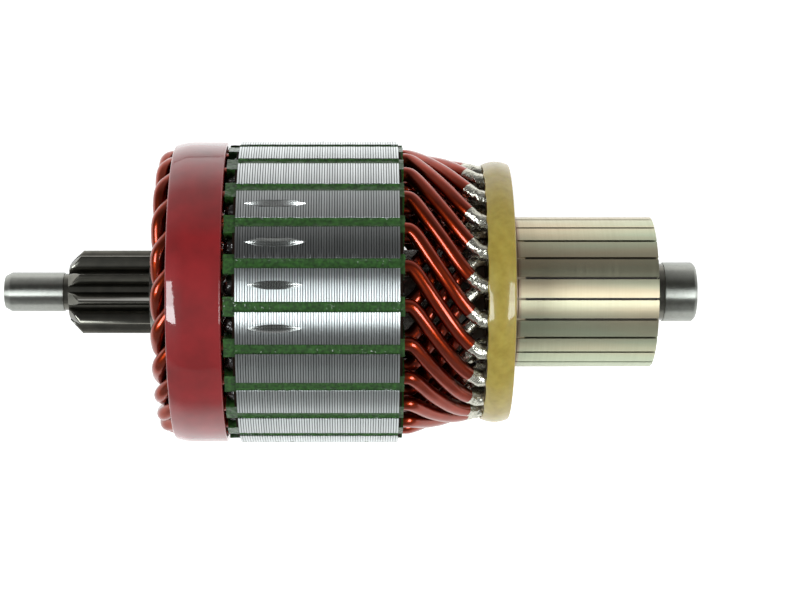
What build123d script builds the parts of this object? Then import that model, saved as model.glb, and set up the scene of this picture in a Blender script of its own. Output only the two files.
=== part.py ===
from build123d import *
from math import acos, cos, pi, radians, sin, sqrt, tan
import os

# Starter motor armature: a toothed shaft that carries a laminated core with a hairpin
# winding, a moulded commutator and the two bands that hold the ends of the wires.
#
# Frame: +X runs along the shaft towards the commutator end, and +Z is up.
# x = 0 is the middle of the commutator-end journal, on the shaft's axis.
# Sizes are in millimetres and angles in degrees. Angles turn about +X, from +Y to +Z.

# Shaft
JOURNAL_RADIUS = 6.0
JOURNAL_LENGTH = 6.5
JOURNAL_CHAMFER = 0.6
RELIEF_DEPTH = 0.25  # of the grinding relief, below the journal
RELIEF_LENGTH = 2.6
COMMUTATOR_SEAT_STEP = 0.5  # from the journal up to the commutator's seat
BODY_STEP = 2.0  # from the commutator's seat up to the body under the core
BODY_STEP_GAP = 3.0  # from the commutator's hub to that step
PILOT_RADIUS = 3.95
PILOT_LENGTH = 12.0
PILOT_CHAMFER_LENGTH = 1.3
PILOT_CHAMFER_DEPTH = 0.7
PILOT_GROOVE_DEPTH = 0.25
PILOT_GROOVE_LENGTH = 1.3
CENTRE_HOLE_RADIUS = 1.6
CENTRE_HOLE_DEPTH = 2.6

# Sun gear, cut on the shaft
GEAR_TEETH = 10
GEAR_MODULE = 1.3
GEAR_SHIFT = 0.46  # profile shift, in modules
GEAR_PRESSURE_ANGLE = 20.0
GEAR_DEDENDUM = 1.25  # in modules
GEAR_LENGTH = 16.5
GEAR_PHASE = 101.0
GEAR_CHAMFER_LENGTH = 2.4
GEAR_CHAMFER_DEPTH = 2.5

# Hairpin winding
WIRE = 2.9  # diameter over the enamel
WIRE_SIDES = 6  # the round wire is drawn with this many flats
WIRE_PLAY = 0.1  # round a wire in its slot
LAYER_GAP = 0.3  # between the outer and the inner layer's wires
COIL_SPAN_SLOTS = 6  # slots from a coil's outer leg to its inner leg
LEAD_OVERHANG = 17.0  # from the core to the commutator's risers
NOSE_OVERHANG = 12.5  # from the liners' ends to the middle of the wire at its bend
NOSE_GEAR_GAP = 3.5  # from the middle of the wire at its bend to the gear

# Core
SLOTS = 23
TOP_TOOTH_ANGLE = 90.0
CORE_RADIUS = 30.5
CORE_LENGTH = 31.4
SLOT_MOUTH = 1.94
TOOTH_TIP = 0.85  # thickness of the tooth's overhanging tip

# Slot liners and end sheets
LINER_WALL = 0.35
LINER_LID = 0.7  # the liner's two flaps, folded over the wires
LINER_FIT = 0.02  # between the liner and its slot
MOUTH_RECESS = 0.35  # how far the flaps' cut edges lie below the teeth
DRIVE_LINER_END = 2.2  # how far the liners stand out of the core
COMMUTATOR_LINER_END = 0.9
END_SHEET = 0.5
END_SHEET_STEP = 0.7  # from the core's surface down to the sheets' edges

# Commutator
TRACK_RADIUS = 15.15
TRACK_LENGTH = 28.85
NECK_DEPTH = 0.3
NECK_LENGTH = 1.3
BAR_GAP = 0.5
BAR_DEPTH = 4.0
UNDERCUT_DEPTH = 0.7
UNDERCUT_START = 2.6  # from the risers to the end of the cut between two bars
TANG_DEPTH = 1.5
TANG_NARROW = 12.0
TANG_WIDE = 15.0
RISER_THICKNESS = 5.3
RISER_FOOT = 4.1  # from the track up to the floor of the riser's wire slot
RISER_WALL = 0.65
RISER_FIT = 0.05  # round the wires in the riser
HUB_RECESS = 0.4  # how far the moulding lies back from the bars' ends
HUB_REACH = 2.0  # how far the moulding comes out behind the risers

# Bands
DRIVE_BAND_WIDTH = 10.6
DRIVE_BAND_WALL = 1.55
DRIVE_BAND_GAP = 0.4  # from the liners' ends to the band
RISER_BAND_WALL = 1.0
BAND_CHAMFER = 0.4
BAND_FIT = 0.05  # over the wires

# Solder on the stripped wire ends
SOLDER_LENGTH = 2.4
SOLDER_WALL = 0.25

# Balance cuts, as pairs of tooth number from the top tooth and depth of the cut
BALANCE_CUTS = ((0, 1.26), (1, 1.24), (2, 1.06), (3, 1.0))
BALANCE_CUTTER_RADIUS = 15.0
BALANCE_CUTTER_THICKNESS = 1.7
BALANCE_CUTTER_VEE = 0.95  # height of the cutter's vee-shaped rim
BALANCE_CUT_PLACE = 7.6  # from the core's drive end to the middle of the cuts

PITCH = 360.0 / SLOTS
LEAD_SHIFT = (COIL_SPAN_SLOTS - 1) / 2  # slots from a leg to its riser
AXIS = Axis.X

# Slot sizes that follow from the wire
WIRE_CLEAR = WIRE / 2 + WIRE_PLAY
LAYER_STEP = WIRE + LAYER_GAP
SLOT_TOP = CORE_RADIUS - TOOTH_TIP
POCKET_TOP = SLOT_TOP - LINER_LID
OUTER_LAYER = POCKET_TOP - WIRE_CLEAR
POCKET_BOTTOM = OUTER_LAYER - LAYER_STEP - WIRE_CLEAR
SLOT_BOTTOM = POCKET_BOTTOM - LINER_WALL
POCKET_WIDTH = 2 * WIRE_CLEAR
SLOT_WIDTH = POCKET_WIDTH + 2 * LINER_WALL

# Riser sizes that follow from the wire and the track
RISER_SLOT_WIDTH = WIRE + 2 * RISER_FIT
RISER_WIDTH = RISER_SLOT_WIDTH + 2 * RISER_WALL
RISER_FLOOR = TRACK_RADIUS + RISER_FOOT
RISER_LAYER = RISER_FLOOR + RISER_FIT + LAYER_STEP + WIRE / 2
RISER_BAND_BORE = RISER_LAYER + WIRE / 2 + BAND_FIT
RISER_TOP = sqrt(RISER_BAND_BORE**2 - (RISER_WIDTH / 2) ** 2)

# Shaft sizes that follow from the journal
COMMUTATOR_SEAT = JOURNAL_RADIUS + COMMUTATOR_SEAT_STEP
BODY_RADIUS = COMMUTATOR_SEAT + BODY_STEP
BAR_FOOT = TRACK_RADIUS - BAR_DEPTH
NECK_RADIUS = TRACK_RADIUS - NECK_DEPTH

# Places along the shaft, from the commutator end to the drive end
X_SHAFT_END = JOURNAL_LENGTH / 2
X_JOURNAL_BACK = -JOURNAL_LENGTH / 2
X_TRACK_END = X_JOURNAL_BACK - RELIEF_LENGTH
X_RISER_FACE = X_TRACK_END - TRACK_LENGTH
X_RISER_BACK = X_RISER_FACE - RISER_THICKNESS
X_HUB_BACK = X_RISER_BACK - HUB_REACH
X_BODY_STEP = X_HUB_BACK - BODY_STEP_GAP
X_CORE_FACE = X_RISER_BACK - LEAD_OVERHANG
X_CORE_BACK = X_CORE_FACE - CORE_LENGTH
X_LINER_FACE = X_CORE_FACE + COMMUTATOR_LINER_END
X_LINER_BACK = X_CORE_BACK - DRIVE_LINER_END
X_DRIVE_BAND = X_LINER_BACK - DRIVE_BAND_GAP
X_NOSE = X_LINER_BACK - NOSE_OVERHANG
X_GEAR_BACK = X_NOSE - NOSE_GEAR_GAP
X_GEAR_FACE = X_GEAR_BACK - GEAR_LENGTH
X_PILOT_BACK = X_GEAR_FACE - PILOT_GROOVE_LENGTH
X_PILOT_END = X_PILOT_BACK - PILOT_LENGTH


def spun(*outline):
    """A turned piece, from points (x, radius) of its section."""
    return revolve(make_face(Polyline(*outline, close=True)), AXIS)


def ring(x_low, x_high, bore, radius):
    return spun((x_low, bore), (x_low, radius), (x_high, radius), (x_high, bore))


def radial_bar(x_low, x_high, low, high, width):
    """A bar that stands out from the shaft at angle 90, between two radii."""
    box = Box(x_high - x_low, width, high - low)
    return Pos((x_low + x_high) / 2, 0, (low + high) / 2) * box


def along_shaft(section, x_low, x_high):
    """A section drawn in (y, z), pulled along the shaft."""
    plane = Plane(origin=(x_low, 0, 0), x_dir=(0, 1, 0), z_dir=(1, 0, 0))
    return extrude(plane * section, x_high - x_low)


def turned(shape, angle):
    """The shape, modelled at angle 90, turned about the shaft to the angle."""
    return Rot(X=angle - 90) * shape


def tooth_angle(number):
    return TOP_TOOTH_ANGLE + number * PITCH


def slot_angle(number):
    return tooth_angle(number + 0.5)


def riser_angle(number):
    """The riser that takes the outer leg of the coil in this slot."""
    return slot_angle(number + LEAD_SHIFT)


def at_slots(shape):
    return [turned(shape, slot_angle(i)) for i in range(SLOTS)]


def save(shape, node):
    shape.label = node
    export_step(shape, f"parts/{node}.step")


# Shaft with its sun gear
def involute(base, radius):
    """The angle in radians that an involute has turned through at a radius."""
    pressure = acos(min(1.0, base / radius))
    return tan(pressure) - pressure


def gear_section():
    pitch_radius = GEAR_MODULE * GEAR_TEETH / 2
    base = pitch_radius * cos(radians(GEAR_PRESSURE_ANGLE))
    root = pitch_radius + GEAR_MODULE * (GEAR_SHIFT - GEAR_DEDENDUM)
    tip = pitch_radius + GEAR_MODULE * (GEAR_SHIFT + 1)
    thick = pi / 2 + 2 * GEAR_SHIFT * tan(radians(GEAR_PRESSURE_ANGLE))
    half = thick / GEAR_TEETH + involute(base, pitch_radius)
    start = max(base, root)
    flank = (start, (start + tip) / 2, tip)

    def point(radius, turn):
        return (-radius * sin(turn), radius * cos(turn))

    edges = []
    for number in range(GEAR_TEETH):
        middle = number * 2 * pi / GEAR_TEETH
        left = [point(r, middle + half - involute(base, r)) for r in flank]
        right = [point(r, middle - half + involute(base, r)) for r in reversed(flank)]
        foot = point(root, middle - half)
        next_foot = point(root, middle - 2 * pi / GEAR_TEETH + half)
        next_start = point(start, middle - 2 * pi / GEAR_TEETH + half)
        edges += [ThreePointArc(*left), Line(left[-1], right[0]), ThreePointArc(*right)]
        edges += Polyline(right[-1], foot, next_foot, next_start).edges()
    return make_face(Wire(edges)), tip


def sun_gear():
    section, tip = gear_section()
    x_full = X_GEAR_FACE + GEAR_CHAMFER_LENGTH
    face_radius = tip - GEAR_CHAMFER_DEPTH
    nose = spun((X_GEAR_FACE, 0), (X_GEAR_FACE, face_radius), (x_full, tip), (x_full, 0))
    blank = nose + ring(x_full, X_GEAR_BACK, 0, tip)
    return turned(along_shaft(section, X_GEAR_FACE, X_GEAR_BACK) & blank, GEAR_PHASE)


def centre_hole(x_end, inward):
    return spun((x_end, 0), (x_end, CENTRE_HOLE_RADIUS), (x_end + inward * CENTRE_HOLE_DEPTH, 0))


def shaft():
    body = spun(
        (X_PILOT_END, 0),
        (X_PILOT_END, PILOT_RADIUS - PILOT_CHAMFER_DEPTH),
        (X_PILOT_END + PILOT_CHAMFER_LENGTH, PILOT_RADIUS),
        (X_PILOT_BACK, PILOT_RADIUS),
        (X_PILOT_BACK, PILOT_RADIUS - PILOT_GROOVE_DEPTH),
        (X_GEAR_BACK, PILOT_RADIUS - PILOT_GROOVE_DEPTH),
        (X_GEAR_BACK, BODY_RADIUS),
        (X_BODY_STEP, BODY_RADIUS),
        (X_BODY_STEP, COMMUTATOR_SEAT),
        (X_TRACK_END, COMMUTATOR_SEAT),
        (X_TRACK_END, JOURNAL_RADIUS - RELIEF_DEPTH),
        (X_JOURNAL_BACK, JOURNAL_RADIUS - RELIEF_DEPTH),
        (X_JOURNAL_BACK, JOURNAL_RADIUS),
        (X_SHAFT_END - JOURNAL_CHAMFER, JOURNAL_RADIUS),
        (X_SHAFT_END, JOURNAL_RADIUS - JOURNAL_CHAMFER),
        (X_SHAFT_END, 0),
    )
    return body + sun_gear() - centre_hole(X_SHAFT_END, -1) - centre_hole(X_PILOT_END, 1)


# Laminated core with its balance cuts
def slot_void(x_low, x_high):
    pocket = radial_bar(x_low, x_high, SLOT_BOTTOM, SLOT_TOP, SLOT_WIDTH)
    mouth = radial_bar(x_low, x_high, SLOT_TOP, CORE_RADIUS + 1, SLOT_MOUTH)
    return pocket + mouth


def balance_cut(depth):
    """What a milling disc with a vee-shaped rim takes out of the top of a tooth."""
    half = BALANCE_CUTTER_THICKNESS / 2
    shoulder = BALANCE_CUTTER_RADIUS - BALANCE_CUTTER_VEE
    inner = BALANCE_CUTTER_RADIUS - 2 * depth
    corners = ((shoulder, half), (inner, half), (inner, -half), (shoulder, -half))
    rim = make_face(Polyline((BALANCE_CUTTER_RADIUS, 0), *corners, close=True))
    x_middle = X_CORE_BACK + BALANCE_CUT_PLACE
    disc = revolve(rim, Axis.Y)
    return Pos(x_middle, 0, CORE_RADIUS + BALANCE_CUTTER_RADIUS - depth) * disc


def core():
    stack = ring(X_CORE_BACK, X_CORE_FACE, BODY_RADIUS, CORE_RADIUS)
    stack -= at_slots(slot_void(X_CORE_BACK, X_CORE_FACE))
    return stack - [turned(balance_cut(depth), tooth_angle(n)) for n, depth in BALANCE_CUTS]


# Insulation: an end sheet on each face of the core, and a liner through each slot
def end_sheet(x_low, x_high):
    """A fibre sheet with open notches, cut straight across the end of each tooth."""
    radius = CORE_RADIUS - END_SHEET_STEP
    outline = RegularPolygon(radius, SLOTS, rotation=slot_angle(0)) - Circle(BODY_RADIUS)
    notch = radial_bar(x_low, x_high, SLOT_BOTTOM, CORE_RADIUS, SLOT_WIDTH)
    return along_shaft(outline, x_low, x_high) - at_slots(notch)


def slot_liner():
    x_low, x_high = X_LINER_BACK, X_LINER_FACE
    width = SLOT_WIDTH - 2 * LINER_FIT
    low = SLOT_BOTTOM + LINER_FIT
    high = SLOT_TOP - LINER_FIT
    flap_top = CORE_RADIUS - MOUTH_RECESS
    flaps = radial_bar(X_CORE_BACK, X_CORE_FACE, high, flap_top, SLOT_MOUTH - 2 * LINER_FIT)
    tube = radial_bar(x_low, x_high, low, high, width) + flaps
    return tube - radial_bar(x_low, x_high, POCKET_BOTTOM, POCKET_TOP, POCKET_WIDTH)


# Hairpin coils
def lead_side():
    """(x, radius, slots turned) of the outer leg, from its slot to its riser."""
    shares = (
        (0.06, 0.00, 0.00),
        (0.27, 0.25, 0.30),
        (0.92, 1.00, 1.00),
    )
    length = X_RISER_BACK - X_LINER_FACE
    drop = OUTER_LAYER - RISER_LAYER
    route = [
        (X_LINER_FACE + x * length, OUTER_LAYER - fall * drop, turn * LEAD_SHIFT)
        for x, fall, turn in shares
    ]
    return route + [(X_RISER_FACE, RISER_LAYER, LEAD_SHIFT)]


def nose_side():
    """(x, radius, slots turned) of the outer leg, from its slot to just before its bend."""
    shares = (
        (0.08, 0.00),
        (0.45, 0.37),
        (0.82, 0.74),
        (1.00, 0.865),
    )
    return [
        (X_LINER_BACK - x * NOSE_OVERHANG, OUTER_LAYER, turn * COIL_SPAN_SLOTS / 2)
        for x, turn in shares
    ]


def inner_leg(route):
    """The inner leg's points, which mirror the outer leg's about the coil's middle."""
    return [(x, radius - LAYER_STEP, COIL_SPAN_SLOTS - turn) for x, radius, turn in reversed(route)]


def place(x, radius, turn):
    angle = radians(90 + turn * PITCH)
    return Vector(x, radius * cos(angle), radius * sin(angle))


def bar_along(points, radius):
    """A bar of flats along straight runs that meet in mitres."""
    start = Plane(origin=points[0], x_dir=(0, 0, 1), z_dir=points[1] - points[0])
    section = start * RegularPolygon(radius, WIRE_SIDES)
    return sweep(section, Polyline(*points), transition=Transition.RIGHT)


def coil():
    """The hairpin whose outer leg lies at angle 90."""
    outer = list(reversed(lead_side())) + nose_side()
    bend = (X_NOSE, OUTER_LAYER - LAYER_STEP / 2, COIL_SPAN_SLOTS / 2)
    route = outer + [bend] + inner_leg(outer)
    return bar_along([place(*point) for point in route], WIRE / 2)


def solder(wire):
    """The solder round the stripped end of the outer leg at angle 90, up to its riser."""
    before, last = [place(*point) for point in lead_side()[-3:-1]]
    start = last + (before - last).normalized() * SOLDER_LENGTH
    face = Vector(X_RISER_BACK, last.Y, last.Z)
    return bar_along([face, last, start], WIRE / 2 + SOLDER_WALL) - wire


# Commutator
def wedge(x_low, x_high):
    """The room for one bar, at angle 90, between the gaps at its two sides."""
    half = radians(PITCH / 2)
    start = BAR_GAP / 2 / sin(half)
    reach = 2 * TRACK_RADIUS
    corners = ((0, start), (reach * tan(half), start + reach), (-reach * tan(half), start + reach))
    return along_shaft(make_face(Polyline(*corners, close=True)), x_low, x_high)


def commutator_bar():
    """A drawn bar of wedge section: its tang is milled flat, and its track is turned."""
    middle = (X_RISER_BACK + X_TRACK_END) / 2
    tang = BAR_FOOT - TANG_DEPTH
    side = make_face(
        Polyline(
            (X_RISER_BACK, TRACK_RADIUS),
            (X_TRACK_END, TRACK_RADIUS),
            (X_TRACK_END, BAR_FOOT),
            (middle + TANG_NARROW / 2, BAR_FOOT),
            (middle + TANG_WIDE / 2, tang),
            (middle - TANG_WIDE / 2, tang),
            (middle - TANG_NARROW / 2, BAR_FOOT),
            (X_RISER_BACK, BAR_FOOT),
            close=True,
        )
    )
    blank = extrude(Plane.XZ * side, TRACK_RADIUS / 2, both=True)
    turning = spun(
        (X_RISER_BACK, 0),
        (X_RISER_BACK, NECK_RADIUS),
        (X_RISER_FACE + NECK_LENGTH, NECK_RADIUS),
        (X_RISER_FACE + NECK_LENGTH, TRACK_RADIUS),
        (X_TRACK_END, TRACK_RADIUS),
        (X_TRACK_END, 0),
    )
    bar = blank & turning & wedge(X_RISER_BACK, X_TRACK_END)
    riser = radial_bar(X_RISER_BACK, X_RISER_FACE, BAR_FOOT, RISER_TOP, RISER_WIDTH)
    notch = radial_bar(X_RISER_BACK, X_RISER_FACE, RISER_FLOOR, RISER_TOP, RISER_SLOT_WIDTH)
    return bar + (riser & wedge(X_RISER_BACK, X_RISER_FACE)) - notch


def commutator_moulding(bars):
    x_cut = X_RISER_FACE + UNDERCUT_START
    x_front = X_TRACK_END - HUB_RECESS
    fin = TRACK_RADIUS - UNDERCUT_DEPTH
    hub = spun(
        (X_HUB_BACK, COMMUTATOR_SEAT),
        (X_HUB_BACK, BAR_FOOT),
        (X_RISER_BACK, BAR_FOOT),
        (X_RISER_BACK, NECK_RADIUS),
        (x_cut, NECK_RADIUS),
        (x_cut, fin),
        (x_front, fin),
        (x_front, COMMUTATOR_SEAT),
    )
    return hub - bars


# Bands
def band(x_low, x_high, bore, wall):
    radius = bore + wall
    shoulder = radius - BAND_CHAMFER
    return spun(
        (x_low, bore),
        (x_low, shoulder),
        (x_low + BAND_CHAMFER, radius),
        (x_high - BAND_CHAMFER, radius),
        (x_high, shoulder),
        (x_high, bore),
    )


os.makedirs("parts", exist_ok=True)
save(shaft(), "shaft")
save(core(), "core")
save(end_sheet(X_CORE_BACK - END_SHEET, X_CORE_BACK), "drive_end_insulator")
save(end_sheet(X_CORE_FACE, X_CORE_FACE + END_SHEET), "commutator_end_insulator")
save(Compound(children=at_slots(slot_liner())), "slot_liners")

hairpin = coil()
for i in range(SLOTS):
    save(turned(hairpin, slot_angle(i)), f"coil_{i + 1:02d}")
save(Compound(children=at_slots(solder(hairpin))), "lead_solder")

first_bar = commutator_bar()
bars = [turned(first_bar, riser_angle(i)) for i in range(SLOTS)]
for i, bar in enumerate(bars):
    save(bar, f"commutator_bar_{i + 1:02d}")
save(commutator_moulding(bars), "commutator_moulding")

drive_bore = OUTER_LAYER + WIRE / 2 + BAND_FIT
drive_band = band(X_DRIVE_BAND - DRIVE_BAND_WIDTH, X_DRIVE_BAND, drive_bore, DRIVE_BAND_WALL)
save(drive_band, "drive_end_band")
save(band(X_RISER_BACK, X_RISER_FACE, RISER_BAND_BORE, RISER_BAND_WALL), "riser_band")
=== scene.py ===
# %% [markdown]
# # Starter motor armature
#
# The real object is the wound rotor of a starter motor. Its sheets, coils, commutator and
# shaft are pressed, soldered and banded together, so nothing moves against anything else.
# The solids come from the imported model, which is the frame of this scene. Each step below
# takes one real piece, says how it is made, and dresses the solid with a closer shape and
# finish. Lengths are in millimetres and are turned to metres when a piece is made.

# %% Load the frame
import math
import random

import bmesh
import bpy
from mathutils import Matrix, Vector, noise


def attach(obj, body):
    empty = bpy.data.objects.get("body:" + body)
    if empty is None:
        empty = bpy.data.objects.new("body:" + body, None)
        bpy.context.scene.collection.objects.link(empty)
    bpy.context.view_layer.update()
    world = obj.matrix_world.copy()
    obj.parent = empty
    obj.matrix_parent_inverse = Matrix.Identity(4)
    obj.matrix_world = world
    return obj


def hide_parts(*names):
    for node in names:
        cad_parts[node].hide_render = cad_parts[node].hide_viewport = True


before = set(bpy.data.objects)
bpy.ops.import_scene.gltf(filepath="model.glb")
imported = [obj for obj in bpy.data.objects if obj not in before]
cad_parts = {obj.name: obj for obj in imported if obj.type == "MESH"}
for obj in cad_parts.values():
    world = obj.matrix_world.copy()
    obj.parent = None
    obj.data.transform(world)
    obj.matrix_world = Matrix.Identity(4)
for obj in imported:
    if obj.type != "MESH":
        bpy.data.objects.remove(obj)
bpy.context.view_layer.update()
print("solid pieces:", len(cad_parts))

# %% [markdown]
# ## Camera
#
# The photograph looks down on the armature at about 56 degrees, from well under half a
# metre, so the near side is drawn a little larger. A camera placed by the sizes of the
# journal and the core gives the same perspective. The small shift moves the picture's
# middle off the point that the lens looks at, as a crop of the photograph does.

# %% Place the camera
MM = 0.001
PICTURE_WIDTH = 800
SENSOR_WIDTH = 36.0
FOCAL_PIXELS = 2066.0
VIEW_DISTANCE = 420.0
VIEW_ELEVATION = math.radians(56.3)
VIEW_FOOT = -66.15  # the point on the shaft's axis that the lens looks at
FOOT_PIXELS = Vector((-48.0, 8.2))  # where the picture shows it, from its middle

camera = bpy.data.objects.new("camera", bpy.data.cameras.new("camera"))
camera.data.sensor_width = SENSOR_WIDTH
camera.data.lens = FOCAL_PIXELS / PICTURE_WIDTH * SENSOR_WIDTH
camera.data.shift_x = -FOOT_PIXELS.x / PICTURE_WIDTH
camera.data.shift_y = -FOOT_PIXELS.y / PICTURE_WIDTH
back = -VIEW_DISTANCE * math.cos(VIEW_ELEVATION)
up = VIEW_DISTANCE * math.sin(VIEW_ELEVATION)
camera.location = Vector((VIEW_FOOT, back, up)) * MM
camera.rotation_euler = (math.pi / 2 - VIEW_ELEVATION, 0, 0)
bpy.context.scene.collection.objects.link(camera)
bpy.context.scene.camera = camera
print("lens in mm:", round(camera.data.lens, 1))

# %% [markdown]
# ## Helpers for finishes
#
# Every finish is a small tree of nodes round one Principled shader. One function turns a
# hex colour to linear light, one adds a node, and one starts a material.

# %% Helpers for finishes
def colour(code):
    """An sRGB hex colour as linear RGBA."""
    values = [int(code[i : i + 2], 16) / 255 for i in (1, 3, 5)]
    linear = [v / 12.92 if v <= 0.04045 else ((v + 0.055) / 1.055) ** 2.4 for v in values]
    return (*linear, 1.0)


def add_node(tree, kind, settings=None, links=None):
    """Adds a node, sets its properties and inputs by name or number, and links its inputs."""
    node = tree.nodes.new(kind)
    for name, value in (settings or {}).items():
        if isinstance(name, int) or name in node.inputs:
            node.inputs[name].default_value = value
        else:
            setattr(node, name, value)
    for name, source in (links or {}).items():
        tree.links.new(source, node.inputs[name])
    return node


print("middle grey in linear light:", round(colour("#808080")[0], 3))


# %% Start a finish
def start_finish(name, settings):
    """A material with one Principled shader, and the coordinates in metres."""
    material = bpy.data.materials.new(name)
    material.use_nodes = True
    tree = material.node_tree
    shader = tree.nodes["Principled BSDF"]
    for key, value in settings.items():
        shader.inputs[key].default_value = value
    place = add_node(tree, "ShaderNodeTexCoord").outputs["Object"]
    return material, tree, shader, place


def per_mm(size):
    """The scale of a pattern whose features are this many millimetres apart."""
    return 1 / (size * MM)


print("scale of a 2 mm pattern:", round(per_mm(2.0)))

# %% [markdown]
# ## Helpers for shapes
#
# Nearly every piece here is turned, drawn or stamped, so one skin over a row of sections
# makes most of them. Corners get a small round, because a real edge always catches light.
# A few pieces are cut from a plain object by Blender's boolean tool instead, because the
# real ones are milled or slotted too.

# %% Points and outlines
def at(x, radius, degrees):
    """A point by its place along the shaft, its radius and its angle about the shaft."""
    angle = math.radians(degrees)
    return Vector((x, radius * math.cos(angle), radius * math.sin(angle)))


def rounded(outline, radius, steps=3, closed=True):
    """The outline with its corners rounded, from points of two numbers."""
    points = [Vector(p) for p in outline]
    result = []
    for i, corner in enumerate(points):
        if not closed and i in (0, len(points) - 1):
            result.append(corner)
            continue
        arms = [points[i - 1] - corner, points[(i + 1) % len(points)] - corner]
        # Less than half of each side is taken, so two rounds never meet
        ends = [corner + arm.normalized() * min(radius, arm.length * 0.45) for arm in arms]
        for k in range(steps + 1):
            t = k / steps
            result.append(ends[0] * (1 - t) ** 2 + corner * 2 * t * (1 - t) + ends[1] * t * t)
    return result


square = ((0, 0), (1, 0), (1, 1), (0, 1))
print("points round a square with soft corners:", len(rounded(square, 0.1)))


# %% A skin over rows of points
def skin(rings, loop=False, caps=False):
    """Faces over rows of points that all have the same number of points."""
    made = bmesh.new()
    rows = [[made.verts.new(point) for point in ring] for ring in rings]
    count = len(rows[0])
    for row, following in zip(rows, rows[1:] + rows[:1] if loop else rows[1:]):
        for k in range(count):
            j = (k + 1) % count
            made.faces.new((row[k], row[j], following[j], following[k]))
    if caps:
        made.faces.new(rows[0])
        made.faces.new(rows[-1])
    return made


def join_shape(whole, part):
    """Adds one shape to another, and frees it."""
    mesh = bpy.data.meshes.new("part")
    part.to_mesh(mesh)
    part.free()
    whole.from_mesh(mesh)
    bpy.data.meshes.remove(mesh)


# %% Put a piece in place of its solids
def add_piece(name, shape, finishes, nodes, sharp=35.0):
    """Makes the piece from its shape in millimetres, and puts it in place of its solids.

    Edges that turn by more degrees than sharp stay crisp, and the rest is shaded smooth.
    """
    bmesh.ops.remove_doubles(shape, verts=shape.verts, dist=1e-5)
    bmesh.ops.recalc_face_normals(shape, faces=shape.faces)
    shape.transform(Matrix.Scale(MM, 4))
    mesh = bpy.data.meshes.new(name)
    shape.to_mesh(mesh)
    shape.free()
    for finish in finishes:
        mesh.materials.append(finish)
    mesh.shade_smooth()
    mesh.set_sharp_from_angle(angle=math.radians(sharp))
    piece = bpy.data.objects.new(name, mesh)
    bpy.context.scene.collection.objects.link(piece)
    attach(piece, "root")
    if nodes:
        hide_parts(*nodes)


# %% Cut and join plain objects
def mesh_object(name, shape):
    """A plain object in millimetres, for the boolean tool."""
    bmesh.ops.recalc_face_normals(shape, faces=shape.faces)
    mesh = bpy.data.meshes.new(name)
    shape.to_mesh(mesh)
    shape.free()
    made = bpy.data.objects.new(name, mesh)
    bpy.context.scene.collection.objects.link(made)
    return made


def take_boolean(target, tool, operation):
    """Adds a boolean change that keeps the finish of the tool on the faces it leaves."""
    change = target.modifiers.new("cut", "BOOLEAN")
    change.object = tool
    change.operation = operation
    change.material_mode = "TRANSFER"


def changed_mesh(target, *tools):
    """The mesh of an object after its changes. The object and its tools are removed."""
    bpy.context.view_layer.update()
    depsgraph = bpy.context.evaluated_depsgraph_get()
    mesh = bpy.data.meshes.new_from_object(target.evaluated_get(depsgraph))
    for helper in (target, *tools):
        bpy.data.objects.remove(helper)
    return mesh


# %% [markdown]
# ## Sizes
#
# These are the sizes of the solids, so each piece lands where its solid is. The armature
# has 23 slots, and the tooth at the top of the core is the first.

# %% Sizes shared by several pieces
SLOTS = 23
PITCH = 360 / SLOTS
COIL_SPAN = 6
LEAD_SHIFT = (COIL_SPAN - 1) / 2  # slots turned between a slot and its riser
X_CORE_FACE = -57.0
X_CORE_BACK = -88.4
X_LINER_BACK = -90.6
X_RISER_FACE = -34.7
X_RISER_BACK = -40.0
X_TRACK_END = -5.85
CORE_RADIUS = 30.5
WIRE = 2.9  # thickness of a wire, over its enamel
OUTER_LAYER = 27.4  # radius of the outer wires in their slots
LAYER_STEP = 3.2  # from the outer wires to the inner ones
RISER_LAYER = 23.95  # radius of the outer wires in the risers


def tooth_angle(number):
    """Degrees about the shaft to the middle of a tooth."""
    return 90 + number * PITCH


def slot_angle(number):
    """Degrees about the shaft to the middle of the slot after that tooth."""
    return tooth_angle(number + 0.5)


def riser_angle(number):
    """Degrees about the shaft to the riser that the wire of that slot goes to."""
    return slot_angle(number + LEAD_SHIFT)


print("degrees from slot to slot:", round(PITCH, 3))

# %% [markdown]
# ## Shaft
#
# The shaft is one bar of alloy steel, turned, gear cut, case hardened and ground on its
# journals. The gear keeps the dark skin of the heat treatment, and the ground seats are
# bright with fine rings. The whole shaft is one skin over rings that all have the gear's
# angles, so the teeth run into the round parts with no seam.

# %% Ground steel
# Ground steel: a bright metal whose fine rings spread the light along the shaft. The real
# rings are too fine to show, so these are drawn 0.35 mm apart. Noise that is stretched
# round the shaft makes them, because it then changes only along the shaft.
RING_LENGTH = 40.0
# Turning marks spread a reflection along the shaft, so both turned steels start from these
TURNED = {"Metallic": 1.0, "Anisotropic": 0.98, "Anisotropic Rotation": 0.25}
ground_steel, tree, shader, place = start_finish("ground_hardened_steel", TURNED)
around_shaft = add_node(tree, "ShaderNodeTangent", {"direction_type": "RADIAL", "axis": "X"})
tree.links.new(around_shaft.outputs[0], shader.inputs["Tangent"])
along = add_node(
    tree,
    "ShaderNodeVectorMath",
    {"operation": "MULTIPLY", 1: (per_mm(0.35), per_mm(RING_LENGTH), per_mm(RING_LENGTH))},
    {0: place},
)
rings = add_node(
    tree, "ShaderNodeTexNoise", {"Scale": 1.0, "Detail": 3.0}, {"Vector": along.outputs[0]}
)
blotches = add_node(
    tree, "ShaderNodeTexNoise", {"Scale": per_mm(1.1), "Detail": 5.0}, {"Vector": place}
)
tint = add_node(
    tree,
    "ShaderNodeMix",
    {"data_type": "RGBA", 6: colour("#7e807a"), 7: colour("#abaca6")},
    {0: blotches.outputs["Fac"]},
)
gloss = add_node(
    tree,
    "ShaderNodeMapRange",
    {"From Min": 0.3, "From Max": 0.7, "To Min": 0.36, "To Max": 0.46},
    {"Value": blotches.outputs["Fac"]},
)
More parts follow.
